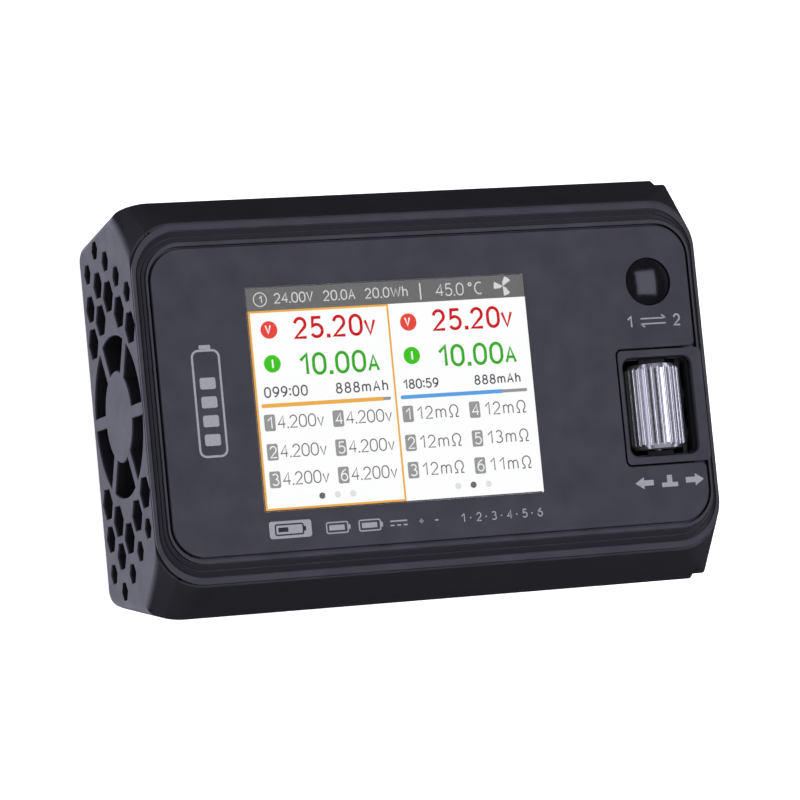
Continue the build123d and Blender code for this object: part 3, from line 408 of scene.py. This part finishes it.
class Marks:
    """One piece made of flat marks in a plane, each a thin closed prism. Millimetres."""

    def __init__(self, surface_z, layer=1, facing=1, shift=(0, 0)):
        self.facing = facing
        self.shift = shift
        self.top = surface_z + facing * layer_step * layer
        self.bottom = self.top - facing * mark_thickness
        self.points = []
        self.faces = []

    def prism(self, outline):
        """A filled shape, from its corners in order."""
        if self.facing * signed_area(outline) < 0:
            outline = outline[::-1]
        outline = [(x + self.shift[0], y + self.shift[1]) for x, y in outline]
        start = len(self.points)
        count = len(outline)
        self.points += [(x, y, self.top) for x, y in outline]
        self.points += [(x, y, self.bottom) for x, y in outline]
        self.faces.append([start + i for i in range(count)])
        self.faces.append([start + count + i for i in reversed(range(count))])
        for i in range(count):
            j = (i + 1) % count
            self.faces.append([start + i, start + count + i, start + count + j, start + j])

    def stroke(self, line, width, closed=False):
        """A line of constant width, as one quad per run, mitred where runs meet.

        A line that ends where it starts is closed too.
        """
        line = [here for i, here in enumerate(line) if i == 0 or math.dist(here, line[i - 1]) > same_point]
        if math.dist(line[0], line[-1]) < same_point:
            closed = True
            line = line[:-1]
        sides = offset_line(line, width / 2, closed)
        runs = len(line) if closed else len(line) - 1
        for i in range(runs):
            j = (i + 1) % len(line)
            self.prism([sides[0][i], sides[0][j], sides[1][j], sides[1][i]])

    def piece(self, name, material, body="case", slot=None):
        """Turn the marks into a mesh object that rides on a body."""
        mesh = bpy.data.meshes.new(name)
        mesh.from_pydata([Vector(point) * MM for point in self.points], [], self.faces)
        mesh.materials.append(material)
        mesh.update()
        piece = bpy.data.objects.new(name, mesh)
        bpy.context.scene.collection.objects.link(piece)
        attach(piece, body)


def signed_area(outline):
    following = outline[1:] + outline[:1]
    return sum(a[0] * b[1] - b[0] * a[1] for a, b in zip(outline, following)) / 2


def offset_line(line, distance, closed):
    """The line's two sides at a distance, with mitred corners."""
    last = len(line) - 1
    sides = ([], [])
    for i, here in enumerate(line):
        before = line[i - 1] if i > 0 or closed else None
        after = line[(i + 1) % len(line)] if i < last or closed else None
        normals = []
        for a, b in ((before, here), (here, after)):
            if a is not None and b is not None:
                length = math.dist(a, b)
                normals.append(((a[1] - b[1]) / length, (b[0] - a[0]) / length))
        nx = sum(n[0] for n in normals) / len(normals)
        ny = sum(n[1] for n in normals) / len(normals)
        reach = distance / max(nx * nx + ny * ny, 0.25)
        sides[0].append((here[0] + nx * reach, here[1] + ny * reach))
        sides[1].append((here[0] - nx * reach, here[1] - ny * reach))
    return sides


def arc(cx, cy, rx, ry, start, end, steps=14):
    """Points along part of an ellipse, angles in degrees."""
    angles = [math.radians(start + (end - start) * i / steps) for i in range(steps + 1)]
    return [(cx + rx * math.cos(a), cy + ry * math.sin(a)) for a in angles]


def disc(cx, cy, radius, steps=40):
    return arc(cx, cy, radius, radius, 0, 360, steps)[:-1]


def rectangle(low_x, low_y, high_x, high_y):
    return [(low_x, low_y), (high_x, low_y), (high_x, high_y), (low_x, high_y)]


def rounded_box(cx, cy, width, height, radius):
    """Corners of a rounded rectangle, anticlockwise."""
    outline = []
    for turn, sx, sy in ((0, 1, 1), (90, -1, 1), (180, -1, -1), (270, 1, -1)):
        x = cx + sx * (width / 2 - radius)
        y = cy + sy * (height / 2 - radius)
        outline += arc(x, y, radius, radius, turn, turn + 90, 6)
    return outline


# ---- Figures to write with: each is (width, lines), one unit high ----
def oval(cx, cy, rx, ry):
    return arc(cx, cy, rx, ry, 0, 360, 28)


figures = {
    "0": (0.6, [arc(0.3, 0.64, 0.3, 0.36, 0, 180) + arc(0.3, 0.36, 0.3, 0.36, 180, 360) + [(0.6, 0.64)]]),
    "1": (0.45, [[(0.06, 0.7), (0.4, 1.0), (0.4, 0.0)]]),
    "2": (0.6, [arc(0.29, 0.7, 0.28, 0.3, 170, -38) + [(0.0, 0.0), (0.6, 0.0)]]),
    "3": (0.56, [arc(0.25, 0.765, 0.25, 0.235, 150, -90) + arc(0.25, 0.265, 0.3, 0.265, 90, -150)]),
    "4": (0.62, [[(0.46, 0.0), (0.46, 1.0), (0.0, 0.3), (0.62, 0.3)]]),
    "5": (0.58, [[(0.54, 1.0), (0.1, 1.0)] + arc(0.27, 0.32, 0.31, 0.32, 132, -150)]),
    "6": (0.58, [oval(0.29, 0.31, 0.29, 0.31), arc(0.58, 0.33, 0.58, 0.67, 180, 100)]),
    "8": (0.58, [oval(0.29, 0.765, 0.235, 0.235), oval(0.29, 0.265, 0.29, 0.265)]),
    "9": (0.58, [oval(0.29, 0.69, 0.29, 0.31), arc(0.0, 0.67, 0.58, 0.67, 0, -80)]),
    "V": (0.62, [[(0.0, 1.0), (0.31, 0.0), (0.62, 1.0)]]),
    "v": (0.5, [[(0.0, 0.7), (0.25, 0.0), (0.5, 0.7)]]),
    "A": (0.66, [[(0.0, 0.0), (0.33, 1.0), (0.66, 0.0)], [(0.11, 0.34), (0.55, 0.34)]]),
    "m": (0.84, [
        [(0.0, 0.0), (0.0, 0.7)],
        arc(0.21, 0.46, 0.21, 0.24, 180, 0) + [(0.42, 0.0)],
        arc(0.63, 0.46, 0.21, 0.24, 180, 0) + [(0.84, 0.0)],
    ]),
    "h": (0.48, [[(0.0, 0.0), (0.0, 1.05)], arc(0.24, 0.45, 0.24, 0.25, 180, 0) + [(0.48, 0.0)]]),
    "W": (1.06, [[(0.0, 1.0), (0.27, 0.0), (0.53, 0.8), (0.79, 0.0), (1.06, 1.0)]]),
    "C": (0.58, [arc(0.4, 0.5, 0.4, 0.5, 60, 300)]),
    "Ω": (0.84, [
        [(0.0, 0.0), (0.24, 0.0)] + arc(0.42, 0.58, 0.36, 0.42, 240, -60, 24) + [(0.6, 0.0), (0.84, 0.0)],
    ]),
    "°": (0.26, [oval(0.13, 0.87, 0.13, 0.13)]),
    "I": (0.1, [[(0.05, 0.0), (0.05, 1.0)]]),
    "-": (0.4, [[(0.0, 0.45), (0.4, 0.45)]]),
    "+": (0.5, [[(0.0, 0.45), (0.5, 0.45)], [(0.25, 0.2), (0.25, 0.7)]]),
}


dot_places = {".": (0.0,), ":": (0.12, 0.6)}    # lower edges of the dots, as shares of the height
dot_size = 1.25             # in line widths
letter_gap = 0.2            # shares of the height
word_gap = 0.32


def write(marks, text, x, y, height, weight, width=None):
    """Write figures from the left end of a baseline. Weight is the line's width.

    The gaps are stretched so that the row is as wide as asked.
    """
    rise = height - weight
    dot = dot_size * weight
    spans = []
    for c in text:
        wide = figures[c][0] * rise + weight if c in figures else 0.0
        spans.append(dot if c in dot_places else wide)
    gaps = [height * (word_gap if c == " " else letter_gap) for c in text[:-1]]
    if width and gaps:
        stretch = (width - sum(spans)) / sum(gaps)
        gaps = [gap * stretch for gap in gaps]
    for c, span, gap in zip(text, spans, gaps + [0.0]):
        for share in dot_places.get(c, ()):
            low = y + share * height
            marks.prism(rectangle(x, low, x + dot, low + dot))
        if c in figures:
            for line in figures[c][1]:
                points = [(x + weight / 2 + px * rise, y + weight / 2 + py * rise) for px, py in line]
                marks.stroke(points, weight)
        x += span + gap


# ---- The display's image ----
# Places are where a mark is seen on the panel's face; the image lies deeper, under the window,
# so all of it is moved to be seen there from the photograph's viewing angle.
glass_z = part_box("lcd_glass")[1].z / MM
parallax = (0.36, 0.09)
window_low, window_high = (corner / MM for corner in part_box("lcd_window"))
margin = 0.17               # between the window's edge and the lit area
left = window_low.x + margin
right = window_high.x - margin
top = window_high.y - margin
low = window_low.y + margin
divider_x = -7.22
bar_low = 14.42             # lower edge of the status bar
channel_step = 24.5         # from the left channel's large values to the right one's

orange = (0.85, 0.42, 0.06)
badge_grey = (0.31, 0.31, 0.31)

# Pieces of the image, each with its layer above the glass and the colour of its light.
image_pieces = {
    "page": (1, (1.0, 1.0, 1.0)),
    "status_bar": (2, (0.15, 0.15, 0.15)),
    "channel_border": (3, orange),
    "status_text": (4, (0.68, 0.68, 0.68)),
    "volts": (3, (0.61, 0.005, 0.009)),
    "amps": (3, (0.035, 0.4, 0.012)),
    "volt_badges": (3, (0.8, 0.06, 0.04)),
    "amp_badges": (3, (0.05, 0.55, 0.01)),
    "progress_orange": (4, orange),
    "progress_blue": (4, (0.1, 0.36, 0.76)),
    "progress_rest": (3, badge_grey),
    "cell_badges": (3, badge_grey),
    "badge_figures": (4, (0.9, 0.9, 0.9)),
    "times": (3, (0.085, 0.085, 0.095)),
    "cell_values": (3, (0.16, 0.16, 0.16)),
    "page_spots_dark": (3, (0.14, 0.14, 0.14)),
    "page_spots_pale": (3, (0.76, 0.76, 0.76)),
}
image = {name: Marks(glass_z, layer, shift=parallax) for name, (layer, light) in image_pieces.items()}


def page_and_border():
    """White page, grey status bar, and the orange border of the selected channel."""
    image["page"].prism(rectangle(left, low, right, top))
    image["status_bar"].prism(rectangle(left, bar_low, right, top))
    width = 0.34
    inset = width / 2
    frame_line = rectangle(left + inset, low + inset, divider_x, bar_low - inset)
    image["channel_border"].stroke(frame_line, width, closed=True)


status_weight = 0.2
status_texts = (            # text, left end, baseline, height, width
    ("24.00V", -26.9, 15.5, 1.78, 6.85),
    ("20.0A", -18.3, 15.5, 1.78, 5.65),
    ("20.0Wh", -10.95, 15.5, 1.78, 7.6),
    ("45.0", 1.65, 15.2, 2.15, 5.0),
    ("°C", 7.45, 15.2, 2.15, 2.45),
)


def status_row():
    """Number of the input in a ring, supply values, a line, the temperature and a fan sign."""
    marks = image["status_text"]
    marks.stroke(disc(-29.33, 16.3, 1.13), 0.16, closed=True)
    write(marks, "1", -29.6, 15.65, height=1.3, weight=status_weight)
    for text, x, y, height, width in status_texts:
        write(marks, text, x, y, height, status_weight, width)
    marks.stroke([(-1.1, 14.85), (-1.1, 17.65)], 0.24)
    hub = (13.75, 16.4)
    for angle in (62, 182, 302):
        tip = arc(*hub, 1.65, 1.65, angle - 30, angle + 14, 6)
        root = arc(*hub, 0.8, 0.8, angle + 22, angle + 30, 2)
        marks.prism([hub] + tip + root)


volts_y = 9.4
amps_y = 3.3
value_weight = 0.52
unit_weight = 0.46
badge_r = 1.46


def large_values(offset):
    """Volts and amps of one channel, each with a lettered badge. Offset moves them along X."""
    write(image["volts"], "25.20", -24.0 + offset, volts_y, height=3.72, weight=value_weight, width=12.15)
    write(image["volts"], "v", -11.65 + offset, volts_y, height=3.75, weight=unit_weight)
    write(image["amps"], "10.00", -23.75 + offset, amps_y, height=3.8, weight=value_weight, width=11.9)
    write(image["amps"], "A", -11.6 + offset, amps_y, height=2.95, weight=unit_weight)
    image["volt_badges"].prism(disc(-28.25 + offset, 11.22, badge_r))
    image["amp_badges"].prism(disc(-28.2 + offset, 5.6, badge_r))
    write(image["badge_figures"], "V", -28.95 + offset, 10.5, height=1.6, weight=0.28)
    write(image["badge_figures"], "I", -28.36 + offset, 4.75, height=1.7, weight=0.3)


def times_row(texts, height):
    """A channel's running time and its charge so far, as (text, left end, right end)."""
    for text, start, end in texts:
        write(image["times"], text, start, 0.0, height, weight=0.25, width=end - start)


progress_y = -1.28
progress_half = 0.33        # half of the bar's width
rest_half = 0.27


def progress_bar(name, start, turn, end):
    """Coloured up to the turn and grey after it, with round ends."""
    done = image[name]
    done.prism(rectangle(start, progress_y - progress_half, turn, progress_y + progress_half))
    done.prism(disc(start, progress_y, progress_half))
    rest = image["progress_rest"]
    rest.prism(rectangle(turn, progress_y - rest_half, end, progress_y + rest_half))
    rest.prism(disc(end, progress_y, rest_half))


cell_rows = (-4.1, -8.93, -13.48)
cell_weight = 0.21


def cell_values(values, badge_columns, text_columns, text_width):
    """Six numbered cells in two columns, each with its value."""
    for index, value in enumerate(values):
        column, row = divmod(index, len(cell_rows))
        x = badge_columns[column]
        y = cell_rows[row]
        image["cell_badges"].prism(rounded_box(x, y, 1.92, 2.76, 0.32))
        number = str(index + 1)
        write(image["badge_figures"], number, x - 0.52, y - 1.02, height=2.04, weight=cell_weight)
        write(image["cell_values"], value, text_columns[column], y - 1.04, 2.2, cell_weight, text_width)


def page_spots(places, current):
    """Row of small spots that count a channel's pages."""
    for index, x in enumerate(places):
        shade = "dark" if index == current else "pale"
        image[f"page_spots_{shade}"].prism(disc(x, -16.62, 0.53))


def left_channel():
    large_values(0.0)
    times_row((("099:00", -30.1, -22.5), ("888mAh", -17.6, -8.4)), height=1.85)
    progress_bar("progress_orange", -30.45, -9.45, -8.35)
    cell_values(["4.200v"] * 6, (-29.58, -17.65), (-28.25, -16.3), 8.1)
    page_spots((-21.7, -19.0, -16.3), 0)


def right_channel():
    large_values(channel_step)
    times_row((("180:59", -5.8, 0.6), ("888mAh", 7.0, 15.3)), height=1.7)
    progress_bar("progress_blue", -6.05, 11.85, 16.05)
    resistances = [f"{value}mΩ" for value in (12, 12, 12, 12, 13, 11)]
    cell_values(resistances, (-5.35, 6.55), (-3.85, 8.25), 7.6)
    page_spots((2.3, 5.05, 7.75), 1)


def display_image():
    """Draw the whole image, then make its pieces."""
    page_and_border()
    status_row()
    left_channel()
    right_channel()
    for name, (layer, light) in image_pieces.items():
        image[name].piece(f"display_{name}", lit_image(f"display_light_{name}", light), slot="display_glass")


# ---- Printed marks on the front panel ----
ink = printed_ink("panel_ink", (0.2, 0.2, 0.218))
ink_line = 0.24


def arrow(marks, tip_x, y, direction):
    """Block arrow along X from its tip."""
    head, length, half, shaft = 1.65, 3.4, 1.03, 0.47
    upper = [(0, 0), (head, half), (head, shaft), (length, shaft)]
    lower = [(reach, -side) for reach, side in upper[:0:-1]]
    marks.prism([(tip_x - direction * reach, y + side) for reach, side in upper + lower])


def cell_sign(marks, x, y, length, height, charge, line):
    """A battery: an outline with a terminal at its right end and a filled part."""
    marks.stroke(rounded_box(x, y, length, height, height * 0.16), line, closed=True)
    marks.prism(rounded_box(x + length / 2 + line * 1.2, y, line * 1.6, height * 0.45, line * 0.4))
    width = (length - 4 * line) * charge
    middle = x - length / 2 + 2 * line + width / 2
    marks.prism(rounded_box(middle, y, width, height - 4 * line, line * 0.5))


def wheel_signs():
    """Arrows for turning the wheel and a press sign between them."""
    marks = Marks(panel_z)
    arrow(marks, 34.2, -18.4, -1)
    arrow(marks, 46.95, -18.35, 1)
    marks.prism(rectangle(39.1, -19.3, 42.05, -18.55))
    marks.prism(rectangle(40.1, -18.55, 41.05, -17.3))
    marks.piece("print_wheel_signs", ink)


def channel_signs():
    """Two channel numbers with arrows both ways between them, under the button."""
    marks = Marks(panel_z)
    for number, x in (("1", 35.6), ("2", 44.2)):
        write(marks, number, x, 8.0, height=2.1, weight=0.3)
    middle_x, half = 40.5, 2.3
    for y, direction in ((9.5, 1), (8.6, -1)):
        tip_x = middle_x + half * direction
        marks.stroke([(middle_x - half * direction, y), (tip_x, y)], ink_line)
        marks.stroke([(tip_x - 0.7 * direction, y + 0.55 * direction), (tip_x, y)], ink_line)
    marks.piece("print_channel_signs", ink)


def charge_sign():
    """An upright battery with four bars, left of the display."""
    marks = Marks(panel_z)
    x, y, width, height = -39.56, -0.28, 4.6, 17.4
    marks.stroke(rounded_box(x, y, width, height, 1.1), 0.36, closed=True)
    marks.prism(rounded_box(x, y + height / 2 + 0.55, 2.0, 0.7, 0.2))
    for bar in range(4):
        marks.prism(rounded_box(x, y - 6.0 + 3.1 * bar, 2.7, 1.9, 0.35))
    marks.piece("print_charge_sign", ink)


def lower_row():
    """Two batteries, the direct-current sign, plus and minus, and a scale of six cells."""
    marks = Marks(panel_z)
    y = -22.0
    for x in (-19.6, -13.9):
        cell_sign(marks, x, y, 3.7, 1.75, charge=0.95, line=0.22)
    marks.stroke([(-10.3, y + 0.35), (-7.3, y + 0.35)], ink_line)
    for x in (-10.3, -9.15, -8.0):
        marks.stroke([(x, y - 0.35), (x + 0.7, y - 0.35)], ink_line)
    write(marks, "+ -", -5.3, y - 0.75, height=1.7, weight=ink_line, width=3.6)
    first_x, pitch, cells = 2.2, 2.75, 6
    for cell in range(cells):
        write(marks, str(cell + 1), first_x + pitch * cell, y - 0.7, height=1.5, weight=0.2)
    for gap in range(cells - 1):
        marks.prism(disc(first_x + 1.75 + pitch * gap, y, 0.14, 12))
    marks.piece("print_cell_scale", ink)


def badge():
    """A plain plate with a battery sign left dark in it."""
    y = -21.72
    plate = Marks(panel_z)
    plate.prism(rounded_box(-27.7, y, 7.3, 2.85, 0.45))
    plate.piece("print_badge", ink)
    sign = Marks(panel_z, layer=2)
    cell_sign(sign, -27.9, y, 4.8, 1.7, charge=0.45, line=0.24)
    sign.piece("print_badge_sign", printed_ink("badge_ink", case_colour))


def panel_prints():
    wheel_signs()
    channel_signs()
    charge_sign()
    lower_row()
    badge()


# ---- Print on the back ----
frame_inset = 1.5           # from the label's edges to the printed frame


def label_frame():
    """A thin printed frame on the blank label."""
    label_low, label_high = (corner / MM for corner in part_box("back_label"))
    width, height = (label_high - label_low).xy - 2 * Vector((frame_inset, frame_inset))
    marks = Marks(label_low.z, facing=-1)
    marks.stroke(rounded_box(0, 0, width, height, 1.0), 0.3, closed=True)
    marks.piece("print_label_frame", printed_ink("label_ink", (0.03, 0.03, 0.035)))


# ---- Floor, lights and world ----
floor_half = 6000.0
floor_drop = 0.05           # below the feet, so that the faces don't fight


def make_floor():
    """A wide pale sheet under the feet, left out of reflections."""
    mesh = bpy.data.meshes.new("floor")
    corners = rectangle(-floor_half, -floor_half, floor_half, floor_half)
    mesh.from_pydata([Vector((x, y, 0)) * MM for x, y in corners], [], [(0, 1, 2, 3)])
    mesh.materials.append(floor_paper("floor_paper"))
    floor = bpy.data.objects.new("floor", mesh)
    floor.location.z = -floor_drop * MM
    floor.visible_glossy = False
    bpy.context.scene.collection.objects.link(floor)


light_place = Vector((-300, -300, 2000)) * MM
light_size = 3000 * MM
light_power = 95            # watts


def overhead_light():
    """A large soft sheet of light above, left out of reflections and of the view through the window."""
    data = bpy.data.lights.new("overhead", "AREA")
    data.shape = "SQUARE"
    data.size = light_size
    data.energy = light_power
    light = bpy.data.objects.new("overhead", data)
    light.location = light_place
    light.visible_glossy = False
    light.visible_transmission = False
    bpy.context.scene.collection.objects.link(light)


# What the case reflects: (middle, across, half width, half height, softness, strength).
# Middle and across are directions; widths are sines of the angles.
reflected_boxes = (
    ((0.349, 0.087, 0.933), (0.937, 0.0, -0.350), 0.24, 0.26, 0.04, 2.15),      # above the panel
    ((-0.80, 0.0, 0.60), (0.60, 0.0, 0.80), 0.16, 0.50, 0.12, 0.8),             # strip on the left
    ((-0.50, 0.05, -0.865), (0.866, 0.0, -0.50), 0.62, 0.46, 0.2, 1.15),        # table on the left
    ((0.95, 0.0, -0.31), (0.0, 1.0, 0.0), 0.50, 0.16, 0.1, 0.5),                # table on the right
    ((0.0, 0.756, 0.655), (1.0, 0.0, 0.0), 0.50, 0.16, 0.1, 0.32),              # above the back
    ((0.0, -0.756, 0.655), (1.0, 0.0, 0.0), 0.50, 0.12, 0.1, 0.35),             # above the front
    ((0.0, 0.96, -0.28), (1.0, 0.0, 0.0), 0.50, 0.12, 0.1, 0.35),               # table at the back
    ((0.0, -0.96, -0.28), (1.0, 0.0, 0.0), 0.50, 0.10, 0.1, 0.35),              # table at the front
)
# Rings all round: (middle height, half height, softness, strength), heights as sines of elevations.
reflected_rings = (
    (0.0, 0.09, 0.08, 0.9),         # bright horizon
    (0.42, 0.2, 0.2, 0.3),          # pale walls
    (-0.27, 0.1, 0.1, 0.3),         # table
)
dark_strength = 0.02
world_tint = (0.93, 0.92, 1.17, 1)


def make_world():
    """A dark studio with soft boxes and pale rings, as directions only."""
    world = bpy.data.worlds.new("studio")
    world.use_nodes = True
    studio = NodeTree(world.node_tree)
    direction = studio.add("ShaderNodeTexCoord").outputs["Generated"]

    def within(value, half, softness):
        """1 where the value is inside plus or minus half, falling to 0 over the softness."""
        away = studio.maths("ABSOLUTE", value)
        edge = (half - softness / 2, half + softness / 2)
        return studio.ranged(away, 1.0, 0.0, *edge, interpolation_type="SMOOTHSTEP")

    total = dark_strength
    for height, half, softness, strength in reflected_rings:
        away = studio.maths("SUBTRACT", studio.dot(direction, (0, 0, 1)), height)
        ring = studio.maths("MULTIPLY", within(away, half, softness), strength)
        total = studio.maths("MAXIMUM", total, ring)
    for middle, across, half_width, half_height, softness, strength in reflected_boxes:
        middle = Vector(middle).normalized()
        across = Vector(across).normalized()
        upright = middle.cross(across).normalized()
        wide = within(studio.dot(direction, across), half_width, softness)
        high = within(studio.dot(direction, upright), half_height, softness)
        facing = studio.maths("GREATER_THAN", studio.dot(direction, middle), 0.0)
        box = studio.maths("MULTIPLY", studio.maths("MULTIPLY", wide, high), facing)
        total = studio.maths("MAXIMUM", total, studio.maths("MULTIPLY", box, strength))
    background = world.node_tree.nodes["Background"]
    studio.feed(background, "Strength", total)
    studio.feed(background, "Color", world_tint)
    bpy.context.scene.world = world


make_camera()
make_floor()
make_world()
overhead_light()
bpy.context.scene.view_settings.view_transform = "Standard"

dress_case()
dress_front()
dress_fan()
dress_boards()
dress_connectors()
display_image()
panel_prints()
label_frame()
